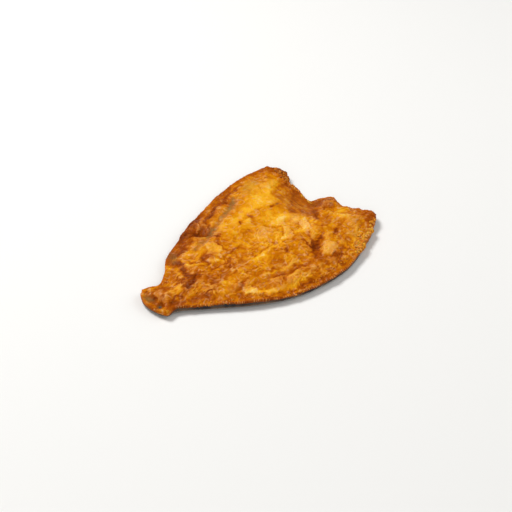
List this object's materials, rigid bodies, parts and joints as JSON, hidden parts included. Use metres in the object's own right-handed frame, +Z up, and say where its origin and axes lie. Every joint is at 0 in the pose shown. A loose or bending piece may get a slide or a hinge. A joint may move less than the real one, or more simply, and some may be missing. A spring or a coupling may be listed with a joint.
{
  "type": "fried fish fillet",
  "caption": "Fried butterflied fish lying open and flat, flesh side up, with a trimmed tail stub, a notched head end, a crisp golden-brown crust and dark skin underneath.",
  "frame": {"origin": "on the surface it lies on, under the middle of the bounding box", "axes": "+X from the tail stub to the cut head end, +Y to the back lobe, +Z up out of the flesh"},
  "size_m": [0.1978, 0.1376, 0.0115],
  "materials": {
    "fried_flesh": "satin"
  },
  "bodies": {
    "root": {"fillet": "fried_flesh"}
  },
  "joints": []
}
